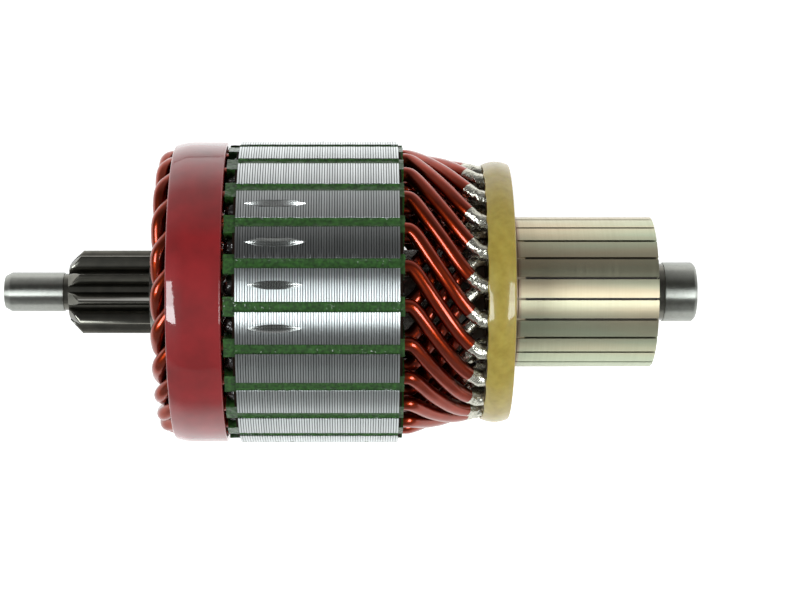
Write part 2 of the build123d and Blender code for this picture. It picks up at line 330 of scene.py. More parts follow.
bump = add_node(
    tree,
    "ShaderNodeBump",
    {"Strength": 0.25, "Distance": 0.02 * MM},
    {"Height": rings.outputs["Fac"]},
)
tree.links.new(tint.outputs[2], shader.inputs["Base Color"])
tree.links.new(gloss.outputs[0], shader.inputs["Roughness"])
tree.links.new(bump.outputs[0], shader.inputs["Normal"])
print("finish:", ground_steel.name)

# %% Oil-quenched steel
# Oil-quenched steel: a thin dark scale, brown where it is thin, with bright worn edges
quenched_steel, tree, shader, place = start_finish(
    "oil_quenched_gear_steel", {"Metallic": 1.0, "Roughness": 0.25}
)
scale = add_node(
    tree, "ShaderNodeTexNoise", {"Scale": per_mm(2.0), "Detail": 6.0}, {"Vector": place}
)
tint = add_node(
    tree,
    "ShaderNodeMix",
    {"data_type": "RGBA", 6: colour("#4c4d48"), 7: colour("#78756c")},
    {0: scale.outputs["Fac"]},
)
edges = add_node(tree, "ShaderNodeNewGeometry")
worn = add_node(
    tree,
    "ShaderNodeMapRange",
    {"From Min": 0.54, "From Max": 0.62},
    {"Value": edges.outputs["Pointiness"]},
)
bright = add_node(
    tree,
    "ShaderNodeMix",
    {"data_type": "RGBA", 7: colour("#c9c8c2")},
    {0: worn.outputs[0], 6: tint.outputs[2]},
)
tree.links.new(bright.outputs[2], shader.inputs["Base Color"])
print("finish:", quenched_steel.name)

# %% Outline of the sun gear
GEAR_TEETH = 10
GEAR_MODULE = 1.3
GEAR_SHIFT = 0.46
GEAR_PRESSURE = math.radians(20)
GEAR_PHASE = 101.0
X_GEAR_FACE = -123.1
X_GEAR_BACK = -106.6
GEAR_CHAMFER = (2.4, 2.5)  # length and depth
PITCH_RADIUS = GEAR_TEETH * GEAR_MODULE / 2
BASE_RADIUS = PITCH_RADIUS * math.cos(GEAR_PRESSURE)
ROOT_RADIUS = PITCH_RADIUS + GEAR_MODULE * (GEAR_SHIFT - 1.25)
TIP_RADIUS = PITCH_RADIUS + GEAR_MODULE * (GEAR_SHIFT + 1)
EDGE = 0.15  # the small round on every edge of the shaft
FLANK_STEPS = 6
FOOT_TURN = 1.2  # degrees from the foot of a flank to the root circle
TIP_TURN = 1.0  # degrees that the eased tip of a tooth takes up


def involute(radius):
    """The angle that an involute has turned through at a radius."""
    pressure = math.acos(min(1.0, BASE_RADIUS / radius))
    return math.tan(pressure) - pressure


def gear_outline():
    """(degrees, radius) of the gear's outline, tooth by tooth."""
    thick = math.pi / 2 + 2 * GEAR_SHIFT * math.tan(GEAR_PRESSURE)
    half = thick / GEAR_TEETH + involute(PITCH_RADIUS)
    flank = []
    for k in range(FLANK_STEPS + 1):
        radius = BASE_RADIUS + (TIP_RADIUS - EDGE - BASE_RADIUS) * k / FLANK_STEPS
        flank.append((math.degrees(half - involute(radius)), radius))
    foot = (flank[0][0] + FOOT_TURN, ROOT_RADIUS)
    crown = (flank[-1][0] - TIP_TURN, TIP_RADIUS)
    side = [foot] + flank + [crown]
    tooth = [(-a, r) for a, r in side] + [(0, TIP_RADIUS)] + side[::-1]
    tooth.append((180 / GEAR_TEETH, ROOT_RADIUS))
    outline = []
    for number in range(GEAR_TEETH):
        middle = GEAR_PHASE + number * 360 / GEAR_TEETH
        outline += [(middle + a, r) for a, r in tooth]
    return outline


OUTLINE = gear_outline()
print("gear tip radius:", round(TIP_RADIUS, 2), "points round the gear:", len(OUTLINE))

# %% Skin of the shaft
X_NECK_FACE = -124.4  # where the pilot ends and the groove before the gear starts
X_SCALE_END = -45.5  # where the dark scale stops, under the commutator
X_RELIEF_FACE = -3.25
CHAMFER_STEPS = 8
drive_end = rounded(
    (
        (-133.8, 0),
        (-136.4, 1.6),
        (-136.4, 3.25),
        (-135.1, 3.95),
        (X_NECK_FACE, 3.95),
        (X_NECK_FACE, 3.7),
        (X_GEAR_FACE, 3.7),
    ),
    EDGE,
    closed=False,
)
commutator_end = rounded(
    (
        (X_GEAR_BACK, 8.5),
        (-45.0, 8.5),
        (-45.0, 6.5),
        (X_TRACK_END, 6.5),
        (X_TRACK_END, 5.75),
        (X_RELIEF_FACE, 5.75),
        (X_RELIEF_FACE, 6.0),
        (2.65, 6.0),
        (3.25, 5.4),
        (3.25, 1.6),
        (0.65, 0),
    ),
    EDGE,
    closed=False,
)
shaft_rings = [[at(x, r, a) for a, _ in OUTLINE] for x, r in drive_end]
length, depth = GEAR_CHAMFER
for k in range(CHAMFER_STEPS + 1):
    share = k / CHAMFER_STEPS
    limit = TIP_RADIUS - depth * (1 - share)
    x = X_GEAR_FACE + share * length
    shaft_rings.append([at(x, min(r, limit), a) for a, r in OUTLINE])
shaft_rings.append([at(X_GEAR_BACK, r, a) for a, r in OUTLINE])
shaft_rings += [[at(x, r, a) for a, _ in OUTLINE] for x, r in commutator_end]
shaft = skin(shaft_rings)
# The gear with the body, and the relief, as they come from the heat treatment
DARK_PARTS = ((X_NECK_FACE, X_SCALE_END), (X_TRACK_END - 0.5, X_RELIEF_FACE - 0.05))
for face in shaft.faces:
    x = face.calc_center_median().x
    face.material_index = int(any(low < x < high for low, high in DARK_PARTS))
add_piece("shaft_dressed", shaft, (ground_steel, quenched_steel), ["shaft"])
print("rings of the shaft:", len(shaft_rings))

# %% [markdown]
# ## Laminated core
#
# The core is a stack of sheets of electrical steel, each half a millimetre thick, stamped
# and pressed together. Their cut edges never line up exactly, so the core shows fine dark
# lines and uneven stripes. Modelling each sheet would give the same look for far more
# faces. So the sheets are rings of one skin: each has its own small radius, and a narrow
# groove lies between two sheets.

# %% Stamped electrical steel
SHEETS = 63
SHEET = (X_CORE_FACE - X_CORE_BACK) / SHEETS

# Electrical steel, stamped: bare cut edges, and a dark line at each groove between two sheets:
# the dark joint, with painted shade of the groove
cut_steel, tree, shader, place = start_finish("stamped_electrical_steel", TURNED)
around_shaft = add_node(tree, "ShaderNodeTangent", {"direction_type": "RADIAL", "axis": "X"})
tree.links.new(around_shaft.outputs[0], shader.inputs["Tangent"])
along = add_node(
    tree,
    "ShaderNodeVectorMath",
    {"operation": "MULTIPLY", 1: (per_mm(2 * SHEET), per_mm(RING_LENGTH), per_mm(RING_LENGTH))},
    {0: place},
)
stripes = add_node(
    tree, "ShaderNodeTexNoise", {"Scale": 1.0, "Detail": 3.0}, {"Vector": along.outputs[0]}
)
tint = add_node(
    tree,
    "ShaderNodeMix",
    {"data_type": "RGBA", 6: colour("#a1a5a5"), 7: colour("#d2d6d6")},
    {0: stripes.outputs["Fac"]},
)
parts = add_node(tree, "ShaderNodeSeparateXYZ", {}, {0: place})
from_end = add_node(
    tree, "ShaderNodeMath", {"operation": "SUBTRACT", 1: X_CORE_BACK * MM}, {0: parts.outputs["X"]}
)
in_sheet = add_node(
    tree, "ShaderNodeMath", {"operation": "PINGPONG", 1: SHEET * MM / 2}, {0: from_end.outputs[0]}
)
line = add_node(
    tree,
    "ShaderNodeMapRange",
    {"From Min": 0.03 * MM, "From Max": 0.11 * MM},
    {"Value": in_sheet.outputs[0]},
)
# The dark line at each groove is the joint between two sheets, and painted shade in the groove
lined = add_node(
    tree,
    "ShaderNodeMix",
    {"data_type": "RGBA", 6: colour("#3c3e3c")},
    {0: line.outputs[0], 7: tint.outputs[2]},
)
grain = add_node(
    tree, "ShaderNodeTexNoise", {"Scale": per_mm(0.4), "Detail": 4.0}, {"Vector": place}
)
gloss = add_node(
    tree,
    "ShaderNodeMapRange",
    {"From Min": 0.3, "From Max": 0.7, "To Min": 0.3, "To Max": 0.42},
    {"Value": grain.outputs["Fac"]},
)
tree.links.new(lined.outputs[2], shader.inputs["Base Color"])
tree.links.new(gloss.outputs[0], shader.inputs["Roughness"])
print("finish:", cut_steel.name)

# %% Milled electrical steel
# Milled steel, in the balance cuts: a bright cut face that mirrors the lamps in short
# glints, with dark dashes where the sheets meet
milled_steel, tree, shader, place = start_finish(
    "milled_electrical_steel", {"Metallic": 1.0, "Roughness": 0.22}
)
grain = add_node(
    tree, "ShaderNodeTexNoise", {"Scale": per_mm(0.3), "Detail": 4.0}, {"Vector": place}
)
tint = add_node(
    tree,
    "ShaderNodeMix",
    {"data_type": "RGBA", 6: colour("#a0a2a0"), 7: colour("#dcdedc")},
    {0: grain.outputs["Fac"]},
)
parts = add_node(tree, "ShaderNodeSeparateXYZ", {}, {0: place})
from_end = add_node(
    tree, "ShaderNodeMath", {"operation": "SUBTRACT", 1: X_CORE_BACK * MM}, {0: parts.outputs["X"]}
)
in_sheet = add_node(
    tree, "ShaderNodeMath", {"operation": "PINGPONG", 1: SHEET * MM / 2}, {0: from_end.outputs[0]}
)
line = add_node(
    tree,
    "ShaderNodeMapRange",
    {"From Max": 0.08 * MM},
    {"Value": in_sheet.outputs[0]},
)
lined = add_node(
    tree,
    "ShaderNodeMix",
    {"data_type": "RGBA", 6: colour("#4a4c4a")},
    {0: line.outputs[0], 7: tint.outputs[2]},
)
tree.links.new(lined.outputs[2], shader.inputs["Base Color"])
print("finish:", milled_steel.name)

# %% Skin of the stacked sheets
SLOT_MOUTH = 1.94
SLOT_TOP = 29.65
SLOT_BOTTOM = 22.3
SLOT_WIDTH = 3.8
BORE = 8.5
GROOVE = 0.1  # depth of the groove between two sheets
STOCK = 0.5  # thickness of the sheets as they are bought
SHEET_EDGE = 0.09  # from a groove to the flat of a sheet
SHEET_FLAT = 0.015  # how far the flat lies under the core's radius
SHEET_CROWN = ((0.0, GROOVE), (SHEET_EDGE, SHEET_FLAT), (STOCK - SHEET_EDGE, SHEET_FLAT))
SHEET_SPREAD = 0.04  # the sheets differ by up to this much in radius
TOOTH_EDGE = 0.06  # how far the two corners of a tooth fall back
TOOTH_STEPS = (-1, -0.98, -0.5, 0, 0.5, 0.98, 1)  # places across a tooth's face, in half widths
SLOT_CORNERS = 6
sheet_random = random.Random(23)
mouth_turn = math.asin(SLOT_MOUTH / 2 / CORE_RADIUS)
tooth_half = CORE_RADIUS * math.sin(math.radians(PITCH / 2) - mouth_turn)


def core_ring(x, sink):
    """The outline of the core at one place along the shaft."""
    points = []
    for number in range(SLOTS):
        for step in TOOTH_STEPS:
            angle = tooth_angle(number) + math.degrees(math.asin(step * tooth_half / CORE_RADIUS))
            edge = TOOTH_EDGE if abs(step) == 1 else 0
            points.append(at(x, CORE_RADIUS - sink - edge, angle))
        middle = Matrix.Rotation(math.radians(slot_angle(number) - 90), 4, "X")
        mouth, wide = SLOT_MOUTH / 2, SLOT_WIDTH / 2
        slot = (
            (mouth, SLOT_TOP),
            (wide, SLOT_TOP),
            (wide, SLOT_BOTTOM),
            (-wide, SLOT_BOTTOM),
            (-wide, SLOT_TOP),
            (-mouth, SLOT_TOP),
        )
        points += [middle @ Vector((x, y, z)) for y, z in slot]
    return points


core_rings = []
for sheet in range(SHEETS):
    sink = sheet_random.uniform(0, SHEET_SPREAD)
    for into_sheet, fall in SHEET_CROWN:
        x = X_CORE_BACK + (sheet + into_sheet / STOCK) * SHEET
        core_rings.append(core_ring(x, sink + fall))
core_rings.append(core_ring(X_CORE_FACE, GROOVE))
core = skin(core_rings)
print("sheets in the core:", SHEETS, "faces on their rims:", len(core.faces))

# %% Faces of the two end sheets, and the bore
core.verts.ensure_lookup_table()
ring_size = len(core_rings[0])
end_rows = (core.verts[:ring_size], core.verts[-ring_size:])
bore_rows = [
    [core.verts.new(at(x, BORE, slot_angle(i))) for i in range(SLOTS)]
    for x in (X_CORE_BACK, X_CORE_FACE)
]
for row, bore in zip(end_rows, bore_rows):
    start = 0
    for number in range(SLOTS):
        arc = len(TOOTH_STEPS)
        side = SLOT_CORNERS // 2
        tooth = [row[k % ring_size] for k in range(start - side, start + arc + side)]
        core.faces.new(tooth + [bore[number], bore[number - 1]])
        bottom = start + arc + side - 1
        core.faces.new((row[bottom], row[bottom + 1], bore[number]))
        start += arc + SLOT_CORNERS
for number in range(SLOTS):
    low, high = bore_rows
    core.faces.new((low[number - 1], low[number], high[number], high[number - 1]))
stack = mesh_object("stack", core)
stack.data.materials.append(cut_steel)
print("points of the stack:", len(stack.data.vertices))

# %% [markdown]
# ## Balance cuts
#
# Four teeth carry a short cut, which takes away weight until the rotor runs true. A disc
# with a vee edge mills them, so each is a lens that is deepest in its middle. A disc of
# the same form is taken off the stack here by the boolean tool, which gives the right
# outline by itself and leaves the milled finish on the faces that it cuts.

# %% Form of the milling disc
BALANCE_CUTS = {0: 1.26, 1: 1.24, 2: 1.06, 3: 1.0}  # tooth and depth
CUTTER_RADIUS = 15.0
CUTTER_HALF = 0.85  # half of the disc's thickness
CUTTER_VEE = 0.95  # height of the vee on its rim
CUTTER_TIP = 0.06  # half width of the rounded tip, whose corners lie as deep
CUTTER_WORN = 0.02  # how far the middle of the tip is worn down
CUTTER_DEEP = 3.0  # how much of the disc is drawn inside its rim
CUTTER_SWING = 45  # degrees of the disc that are drawn to each side of the cut
CUTTER_STEPS = 180
X_CUTS = -80.8
profile = (
    (CUTTER_RADIUS - CUTTER_DEEP, -CUTTER_HALF),
    (CUTTER_RADIUS - CUTTER_VEE, -CUTTER_HALF),
    (CUTTER_RADIUS - CUTTER_TIP, -CUTTER_TIP),
    (CUTTER_RADIUS - CUTTER_WORN, 0),
    (CUTTER_RADIUS - CUTTER_TIP, CUTTER_TIP),
    (CUTTER_RADIUS - CUTTER_VEE, CUTTER_HALF),
    (CUTTER_RADIUS - CUTTER_DEEP, CUTTER_HALF),
)
discs = bmesh.new()
for number, depth in BALANCE_CUTS.items():
    turn = Matrix.Rotation(math.radians(tooth_angle(number) - 90), 4, "X")
    centre = CORE_RADIUS + CUTTER_RADIUS - depth
    disc_rings = []
    for k in range(CUTTER_STEPS + 1):
        swing = math.radians(CUTTER_SWING * (2 * k / CUTTER_STEPS - 1))
        disc_rings.append(
            [
                turn @ Vector((X_CUTS + r * math.sin(swing), y, centre - r * math.cos(swing)))
                for r, y in profile
            ]
        )
    join_shape(discs, skin(disc_rings, caps=True))
deepest = max(BALANCE_CUTS.values())
longest = 2 * math.sqrt(deepest * (2 * CUTTER_RADIUS - deepest))
print("longest cut in mm:", round(longest, 1))

# %% Mill the cuts
mill = mesh_object("mill", discs)
mill.data.materials.append(milled_steel)
take_boolean(stack, mill, "DIFFERENCE")
milled = bmesh.new()
milled.from_mesh(changed_mesh(stack, mill))
print("faces of the milled core:", len(milled.faces))
add_piece("core_dressed", milled, (cut_steel, milled_steel), ["core"])

# %% [markdown]
# ## Hairpin coils
#
# Each coil is a round copper wire, bent to a hairpin, pushed through two slots and then
# twisted, so its ends meet the commutator. The enamel on it is a clear dark red brown
# lacquer over bright metal. A wire with one smooth line is a curve with a round bevel, and
# one curve gives the mesh of all 23 coils.

# %% Enamelled copper wire
# Enamelled copper: polished metal under a glossy coat that gives thin sharp highlights
enamel, tree, shader, place = start_finish(
    "enamelled_copper_wire",
    {"Metallic": 1.0, "Roughness": 0.32, "Coat Weight": 0.55, "Coat Roughness": 0.05},
)
cloud = add_node(
    tree, "ShaderNodeTexNoise", {"Scale": per_mm(3.0), "Detail": 4.0}, {"Vector": place}
)
tint = add_node(
    tree,
    "ShaderNodeMix",
    {"data_type": "RGBA", 6: colour("#621a08"), 7: colour("#98310d")},
    {0: cloud.outputs["Fac"]},
)
tree.links.new(tint.outputs[2], shader.inputs["Base Color"])
print("finish:", enamel.name)

# %% Tinned copper
# Tinned copper: bright silver with soft lumps, where the enamel was stripped and soldered
tinned, tree, shader, place = start_finish(
    "tinned_copper_lead", {"Metallic": 1.0, "Roughness": 0.25}
)
lumps = add_node(
    tree, "ShaderNodeTexNoise", {"Scale": per_mm(0.8), "Detail": 4.0}, {"Vector": place}
)
tint = add_node(
    tree,
    "ShaderNodeMix",
    {"data_type": "RGBA", 6: colour("#8b8978"), 7: colour("#dddbd0")},
    {0: lumps.outputs["Fac"]},
)
bump = add_node(
    tree,
    "ShaderNodeBump",
    {"Strength": 0.9, "Distance": 0.25 * MM},
    {"Height": lumps.outputs["Fac"]},
)
tree.links.new(tint.outputs[2], shader.inputs["Base Color"])
tree.links.new(bump.outputs[0], shader.inputs["Normal"])
print("finish:", tinned.name)

# %% Route of one hairpin
X_LINER_FACE = -56.1
X_LEAD_STRAIGHT = -37.4  # inside the riser, where the wire runs straight again
X_IN_SLOT = (-66.0, -80.0)  # two places on the straight part in the slot
X_STRIPPED = -43.4  # where the enamel ends
WIRE_SHORT = 0.3  # how far a wire's end lies inside its riser's face
NOSE_OVERHANG = 12.5
# Shares of the run and of the drop to the riser, and slots turned: read off the photograph
LEAD_ROUTE = (
    (0.00, 0.00, 0.00),
    (0.06, 0.00, 0.00),
    (0.13, 0.06, 0.12),
    (0.29, 0.27, 0.65),
    (0.41, 0.42, 1.04),
    (0.54, 0.53, 1.46),
    (0.66, 0.65, 1.88),
    (0.79, 0.78, 2.24),
    (0.90, 0.93, 2.47),
    (1.00, 1.00, 2.50),
)
# Shares of the overhang, of the step to the inner layer and of half the span
NOSE_ROUTE = (
    (0.00, 0.00, 0.00),
    (0.06, 0.00, 0.00),
    (0.20, 0.00, 0.13),
    (0.45, 0.00, 0.37),
    (0.64, 0.00, 0.56),
    (0.82, 0.00, 0.74),
    (0.99, 0.03, 0.85),
    (1.02, 0.25, 0.94),
)


def lead_points():
    """(x, radius, slots turned) from the slot to the end of the wire in its riser."""
    run = X_RISER_BACK - X_LINER_FACE
    drop = OUTER_LAYER - RISER_LAYER
    points = [
        (X_LINER_FACE + x * run, OUTER_LAYER - fall * drop, turn) for x, fall, turn in LEAD_ROUTE
    ]
    in_riser = (X_LEAD_STRAIGHT, X_RISER_FACE - WIRE_SHORT)
    return points + [(x, RISER_LAYER, LEAD_SHIFT) for x in in_riser]


def nose_points():
    """(x, radius, slots turned) from the slot to the bend."""
    return [
        (X_LINER_BACK - x * NOSE_OVERHANG, OUTER_LAYER - fall * LAYER_STEP, turn * COIL_SPAN / 2)
        for x, fall, turn in NOSE_ROUTE
    ]


def on_inner_layer(x, radius, turn):
    """The matching point of the inner leg: one layer down, and mirrored over the bend."""
    between_layers = OUTER_LAYER - LAYER_STEP / 2
    lower = 2 * between_layers - radius if x < X_LINER_BACK else radius - LAYER_STEP
    return x, lower, COIL_SPAN - turn


outer_leg = lead_points()[::-1] + [(x, OUTER_LAYER, 0) for x in X_IN_SLOT] + nose_points()
inner_leg = [on_inner_layer(*point) for point in outer_leg]
route = outer_leg + inner_leg[::-1]
print("points on the route:", len(route))

# %% One hairpin, bent from round wire
wire_line = bpy.data.curves.new("hairpin", "CURVE")
wire_line.dimensions = "3D"
spline = wire_line.splines.new("NURBS")
spline.points.add(len(route) - 1)
for point, (x, radius, turn) in zip(spline.points, route):
    point.co = (*at(x, radius, 90 + turn * PITCH), 1.0)
spline.order_u = 4
spline.use_endpoint_u = True
spline.resolution_u = 5
wire_line.bevel_depth = WIRE / 2
wire_line.bevel_resolution = 5
wire_line.use_fill_caps = True
holder = bpy.data.objects.new("hairpin", wire_line)
hairpin = bpy.data.meshes.new_from_object(holder)
bpy.data.objects.remove(holder)
print("points on one hairpin:", len(hairpin.vertices))

# %% All the coils, turned to their slots
ring_points = 2 * (wire_line.bevel_resolution + 2)
first_leg = hairpin.vertices[: len(hairpin.vertices) // 2]
stripped_rings = sum(v.co.x > X_STRIPPED for v in first_leg) // ring_points  # at each end
last_ring = len(hairpin.vertices) // ring_points - 1
for number in range(SLOTS):
    coil = bmesh.new()
    coil.from_mesh(hairpin)
    coil.verts.index_update()
    coil.transform(Matrix.Rotation(math.radians(slot_angle(number) - 90), 4, "X"))
    for face in coil.faces:
        nearest = min(v.index // ring_points for v in face.verts)
        at_an_end = nearest < stripped_rings or nearest >= last_ring - stripped_rings
        face.material_index = int(at_an_end)
    name = f"coil_{number + 1:02d}"
    add_piece(f"{name}_wire", coil, (enamel, tinned), [name])
print("rings without enamel at each end:", stripped_rings)

# %% [markdown]
# ## Solder on the leads
#
# The stripped ends are dipped, so solder gathers round them just before the risers. It
# sets in soft lumps. Each is a short skin along its wire, with a radius that wanders.

# %% Shape of the solder
SOLDER_WALL = 0.24  # its greatest thickness
SOLDER_USUAL = 0.7  # the usual share of that, and how much the lumps change it
SOLDER_CHANGE = 0.6
SOLDER_RISE = 4  # it is thin at the enamel, and full after a quarter of its length
SOLDER_SINK = 0.02  # how far the skin starts inside the wire
SOLDER_WAVE = 1.3  # swells of the noise to a millimetre
SOLDER_ENDS = (-42.9, -40.0)
SOLDER_STEPS = 10
SOLDER_SIDES = 20
solder = bmesh.new()
lead_route = lead_points()


def along_lead(x):
    """The radius and the slots turned of a lead at a place along the shaft."""
    for (x0, r0, t0), (x1, r1, t1) in zip(lead_route, lead_route[1:]):
        if x0 <= x <= x1:
            share = (x - x0) / (x1 - x0)
            return r0 + (r1 - r0) * share, t0 + (t1 - t0) * share
    return lead_route[-1][1:]


for number in range(SLOTS):
    rings_here = []
    for k in range(SOLDER_STEPS + 1):
        share = k / SOLDER_STEPS
        x = SOLDER_ENDS[0] + (SOLDER_ENDS[1] - SOLDER_ENDS[0]) * share
        radius, turn = along_lead(x)
        centre = at(x, radius, slot_angle(number) + turn * PITCH)
        ring_here = []
        for j in range(SOLDER_SIDES):
            angle = 2 * math.pi * j / SOLDER_SIDES
            side = Vector((0, math.cos(angle), math.sin(angle)))
            wander = noise.noise((centre + side * WIRE / 2) * SOLDER_WAVE)
            lumpy = SOLDER_USUAL + SOLDER_CHANGE * wander
            thick = SOLDER_WALL * min(1, SOLDER_RISE * share) * lumpy
            reach = WIRE / 2 + min(SOLDER_WALL, thick) - SOLDER_SINK
            ring_here.append(centre + side * reach)
        rings_here.append(ring_here)
    join_shape(solder, skin(rings_here, caps=True))
print("faces of the solder:", len(solder.faces))
add_piece("lead_solder_lumps", solder, [tinned], ["lead_solder"])

# %% [markdown]
# ## Commutator
#
# The commutator is a ring of drawn copper bars, moulded round with phenolic resin, turned
# true and undercut between the bars. Each bar's riser is slotted for its two wires. The
# section of a bar is a wedge with a curved top. It is pulled along the shaft, and the
# riser is joined to it and slotted by the boolean tool, before a bevel eases all its edges.

# %% Turned commutator copper
# Silver-bearing copper, turned: a pale yellow metal with fine rings and a soft film, and
# browner beyond the track that the brushes clean. The rings are drawn 0.25 mm apart.
X_BRUSHED = (-32.8, -33.2)  # the soft end of the brushed track
ALONG_BAR = 0.08  # the film is stretched along the bars, as they were drawn and wiped
turned_copper, tree, shader, place = start_finish(
    "turned_commutator_copper", {"Metallic": 1.0, "Anisotropic": 0.75, "Anisotropic Rotation": 0.25}
)
around_shaft = add_node(tree, "ShaderNodeTangent", {"direction_type": "RADIAL", "axis": "X"})
tree.links.new(around_shaft.outputs[0], shader.inputs["Tangent"])
along = add_node(
    tree,
    "ShaderNodeVectorMath",
    {"operation": "MULTIPLY", 1: (per_mm(0.25), per_mm(RING_LENGTH), per_mm(RING_LENGTH))},
    {0: place},
)
rings = add_node(
    tree, "ShaderNodeTexNoise", {"Scale": 1.0, "Detail": 3.0}, {"Vector": along.outputs[0]}
)
drawn = add_node(
    tree, "ShaderNodeVectorMath", {"operation": "MULTIPLY", 1: (ALONG_BAR, 1, 1)}, {0: place}
)
film = add_node(
    tree, "ShaderNodeTexNoise", {"Scale": per_mm(7.0), "Detail": 6.0}, {"Vector": drawn.outputs[0]}
)
hue = add_node(
    tree, "ShaderNodeMapRange", {"From Min": 0.4, "From Max": 0.6}, {"Value": film.outputs["Fac"]}
)
tint = add_node(
    tree,
    "ShaderNodeMix",
    {"data_type": "RGBA", 6: colour("#aeb59c"), 7: colour("#b7ab91")},
    {0: hue.outputs[0]},
)
parts = add_node(tree, "ShaderNodeSeparateXYZ", {}, {0: place})
unbrushed = add_node(
    tree,
    "ShaderNodeMapRange",
    {"From Min": X_BRUSHED[0] * MM, "From Max": X_BRUSHED[1] * MM, "To Max": 0.7},
    {"Value": parts.outputs["X"]},
)
browned = add_node(
    tree,
    "ShaderNodeMix",
    {"data_type": "RGBA", 7: colour("#9a8272")},
    {0: unbrushed.outputs[0], 6: tint.outputs[2]},
)
gloss = add_node(
    tree,
    "ShaderNodeMapRange",
    {"From Min": 0.3, "From Max": 0.7, "To Min": 0.44, "To Max": 0.54},
    {"Value": rings.outputs["Fac"]},
)
bump = add_node(
    tree,
    "ShaderNodeBump",
    {"Strength": 0.2, "Distance": 0.02 * MM},
    {"Height": rings.outputs["Fac"]},
)
tree.links.new(browned.outputs[2], shader.inputs["Base Color"])
tree.links.new(gloss.outputs[0], shader.inputs["Roughness"])
tree.links.new(bump.outputs[0], shader.inputs["Normal"])
print("finish:", turned_copper.name)

# %% Moulded phenolic resin
# Phenolic resin, moulded: dark brown and half matt, with specks of its filler, and pale
# with copper dust between the risers, where it was turned flush
X_TURNED_FLUSH = (-31.9, -32.2)  # the soft end of the dust
phenolic, tree, shader, place = start_finish(
    "moulded_phenolic_resin", {"Roughness": 0.6, "IOR": 1.6}
)
specks = add_node(
    tree, "ShaderNodeTexNoise", {"Scale": per_mm(0.4), "Detail": 5.0}, {"Vector": place}
)
tint = add_node(
    tree,
    "ShaderNodeMix",
    {"data_type": "RGBA", 6: colour("#0e0905"), 7: colour("#23170e")},
    {0: specks.outputs["Fac"]},
)
parts = add_node(tree, "ShaderNodeSeparateXYZ", {}, {0: place})
turned_flush = add_node(
    tree,
    "ShaderNodeMapRange",
    {"From Min": X_TURNED_FLUSH[0] * MM, "From Max": X_TURNED_FLUSH[1] * MM, "To Max": 0.85},
    {"Value": parts.outputs["X"]},
)
dusted = add_node(
    tree,
    "ShaderNodeMix",
    {"data_type": "RGBA", 7: colour("#8d8068")},
    {0: turned_flush.outputs[0], 6: tint.outputs[2]},
)
bump = add_node(
    tree,
    "ShaderNodeBump",
    {"Strength": 0.4, "Distance": 0.05 * MM},
    {"Height": specks.outputs["Fac"]},
)
tree.links.new(dusted.outputs[2], shader.inputs["Base Color"])
tree.links.new(bump.outputs[0], shader.inputs["Normal"])
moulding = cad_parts["commutator_moulding"]
moulding.data.materials.clear()
moulding.data.materials.append(phenolic)
print("finish:", phenolic.name, "on", moulding.name)

# %% Section of a commutator bar
TRACK_RADIUS = 15.15
NECK_RADIUS = 14.85
X_NECK = X_RISER_FACE + 1.3
BAR_FOOT = 11.15
BAR_GAP = 0.5
RISER_WIDTH = 3.9
RISER_SLOT = 3.0
RISER_FLOOR = 19.25
RISER_TOP = 25.36
BAR_EDGE = 0.08
CUT_SPARE = 1.0  # how far a block for the boolean tool goes past the faces it meets


def bar_section(x, radius):
    """The wedge section of a bar at angle 90, with a curved top."""
    half_pitch = math.radians(PITCH / 2)
    points = []
    for share in (-1, -0.66, -0.33, 0, 0.33, 0.66, 1):
        angle = share * (half_pitch - math.asin(BAR_GAP / 2 / radius))
        points.append(Vector((x, radius * math.sin(angle), radius * math.cos(angle))))
    foot = BAR_FOOT * math.tan(half_pitch) - BAR_GAP / 2 / math.cos(half_pitch)
    return points + [Vector((x, foot, BAR_FOOT)), Vector((x, -foot, BAR_FOOT))]


def block(x_low, x_high, low, high, width):
    """A block at angle 90 between two radii."""
    half = width / 2
    corners = ((-half, low), (half, low), (half, high), (-half, high))
    return skin([[Vector((x, y, z)) for y, z in corners] for x in (x_low, x_high)], caps=True)


# %% One bar, joined, slotted and eased
bar_rings = [
    bar_section(X_RISER_BACK, NECK_RADIUS),
    bar_section(X_NECK, NECK_RADIUS),
    bar_section(X_NECK, TRACK_RADIUS),
    bar_section(X_TRACK_END, TRACK_RADIUS),
]
bar = mesh_object("bar", skin(bar_rings, caps=True))
upright = block(X_RISER_BACK, X_RISER_FACE, NECK_RADIUS - CUT_SPARE, RISER_TOP, RISER_WIDTH)
opening = block(
    X_RISER_BACK - CUT_SPARE,
    X_RISER_FACE + CUT_SPARE,
    RISER_FLOOR,
    RISER_TOP + CUT_SPARE,
    RISER_SLOT,
)
riser = mesh_object("riser", upright)
notch = mesh_object("notch", opening)
take_boolean(bar, riser, "UNION")
take_boolean(bar, notch, "DIFFERENCE")
ease = bar.modifiers.new("ease", "BEVEL")
ease.width = BAR_EDGE
ease.segments = 2
ease.limit_method = "ANGLE"
ease.angle_limit = math.radians(40)
eased_bar = changed_mesh(bar, riser, notch)
print("faces of one bar:", len(eased_bar.polygons))

# %% All the bars, turned to their places
for number in range(SLOTS):
    shape = bmesh.new()
    shape.from_mesh(eased_bar)
    shape.transform(Matrix.Rotation(math.radians(riser_angle(number) - 90), 4, "X"))
    name = f"commutator_bar_{number + 1:02d}"
    add_piece(f"{name}_turned", shape, [turned_copper], [name], sharp=30.0)
print("bars:", SLOTS)

# %% [markdown]
# ## Insulation
#
# Each slot is lined with green insulating paper, folded round the wires and soaked with
# varnish. A fibre sheet on each face of the core keeps the wires off its edges. The fibre
# sheets have the right shape as solids and only need their finish. The paper is drawn
# again, because its rough flaps show in every slot's mouth: a tube of two skins, and a
# strip whose top is uneven.

